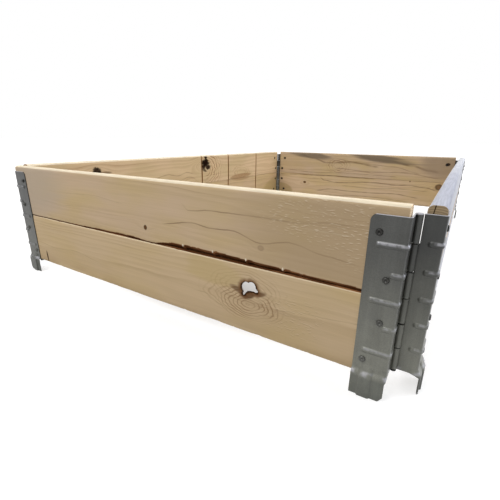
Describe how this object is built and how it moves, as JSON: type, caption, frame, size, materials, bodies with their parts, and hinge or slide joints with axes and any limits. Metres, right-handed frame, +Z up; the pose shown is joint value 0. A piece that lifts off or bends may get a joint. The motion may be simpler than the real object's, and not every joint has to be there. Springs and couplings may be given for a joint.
{
  "type": "pallet collar",
  "caption": "Rectangular pallet collar of stacked softwood boards on stamped steel corner hinges; it folds flat, stacks, and grips a pallet with joggled feet.",
  "frame": {"origin": "on the floor under the middle of the collar, level with the lower ends of the feet", "axes": "+X along the short sides to the right of the picture, +Y along the long sides away from the near short side, +Z up"},
  "size_m": [0.8134, 1.2134, 0.2215],
  "materials": {
    "wood": "planed softwood, untreated, with knots",
    "hinge_sheet": "galvanised, dull",
    "pin_steel": "galvanised, worn",
    "rivet_steel": "galvanised, dull"
  },
  "bodies": {
    "front_side": {"front_upper_board": "wood", "front_lower_board": "wood", "front_side_right_leaf": "hinge_sheet", "front_side_left_leaf": "hinge_sheet", "front_side_right_rivets": "rivet_steel", "front_side_left_rivets": "rivet_steel", "front_right_pin": "pin_steel"},
    "right_side": {"right_upper_board": "wood", "right_lower_board": "wood", "right_side_front_leaf": "hinge_sheet", "right_side_back_leaf": "hinge_sheet", "right_side_front_rivets": "rivet_steel", "right_side_back_rivets": "rivet_steel", "back_right_pin": "pin_steel"},
    "back_side": {"back_upper_board": "wood", "back_lower_board": "wood", "back_side_right_leaf": "hinge_sheet", "back_side_left_leaf": "hinge_sheet", "back_side_right_rivets": "rivet_steel", "back_side_left_rivets": "rivet_steel", "back_left_pin": "pin_steel"},
    "left_side": {"left_upper_board": "wood", "left_lower_board": "wood", "left_side_front_leaf": "hinge_sheet", "left_side_back_leaf": "hinge_sheet", "left_side_front_rivets": "rivet_steel", "left_side_back_rivets": "rivet_steel", "front_left_pin": "pin_steel"}
  },
  "joints": [
    {"name": "front_right_hinge", "type": "hinge", "parent": "front_side", "child": "right_side", "pos_m": [0.37609, -0.57609, 0.119], "axis": [0, 0, 1], "range_deg": [-90, 90]},
    {"name": "front_left_hinge", "type": "hinge", "parent": "front_side", "child": "left_side", "pos_m": [-0.37609, -0.57609, 0.119], "axis": [0, 0, 1], "range_deg": [-90, 90]},
    {"name": "back_left_hinge", "type": "hinge", "parent": "left_side", "child": "back_side", "pos_m": [-0.37609, 0.57609, 0.119], "axis": [0, 0, 1], "range_deg": [-90, 90]}
  ],
  "couplings": [
    {"joint": "front_left_hinge", "follows": "front_right_hinge", "ratio": 1},
    {"joint": "back_left_hinge", "follows": "front_right_hinge", "ratio": -1}
  ]
}
